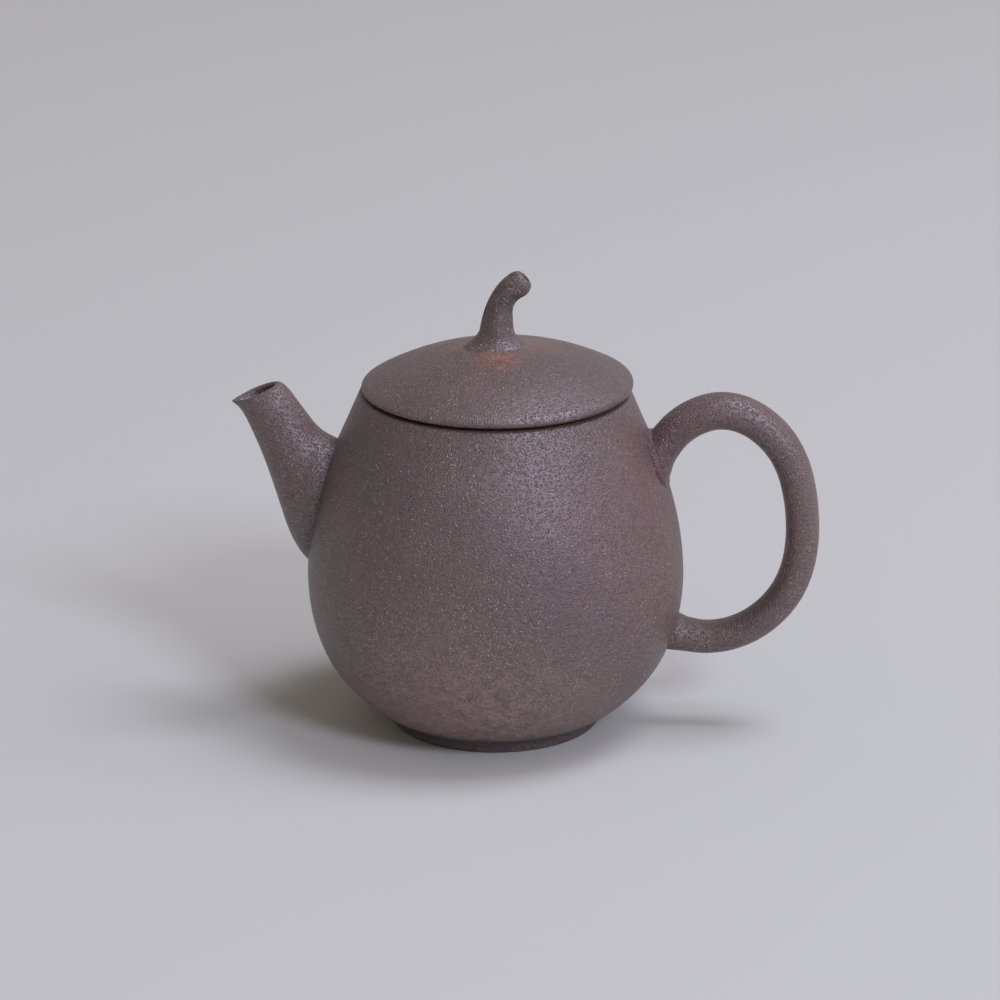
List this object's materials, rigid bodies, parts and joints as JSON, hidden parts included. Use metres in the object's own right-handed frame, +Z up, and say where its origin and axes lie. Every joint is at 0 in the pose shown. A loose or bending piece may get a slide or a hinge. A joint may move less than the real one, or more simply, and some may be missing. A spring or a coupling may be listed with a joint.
{
  "type": "teapot",
  "caption": "Small unglazed yixing clay teapot: egg-shaped body, short tapering spout, ear-shaped handle, and a loose domed lid whose knob is a curved vented stem.",
  "frame": {"origin": "centre of the foot ring, on the plane it stands on", "axes": "+Z up along the pot's turning axis, +X towards the handle, so the spout points along -X"},
  "size_m": [0.1285, 0.083, 0.1029],
  "materials": {
    "fired_clay": "unglazed fired clay, fine sandy grain, satin"
  },
  "bodies": {
    "pot": {"body_wall": "fired_clay", "base_disc": "fired_clay", "foot_ring": "fired_clay", "mouth_ring": "fired_clay", "spout": "fired_clay", "strainer_dome": "fired_clay", "handle": "fired_clay"},
    "lid_seat": {"lid_collar": "fired_clay"},
    "lid": {"lid_disc": "fired_clay", "lid_stem": "fired_clay"}
  },
  "joints": [
    {"name": "lid_lift", "type": "slide", "parent": "pot", "child": "lid_seat", "axis": [0, 0, 1], "range_m": [0, 0.05]},
    {"name": "lid_turn", "type": "hinge", "parent": "lid_seat", "child": "lid", "pos_m": [0, 0, 0.076], "axis": [0, 0, 1], "continuous": true}
  ]
}
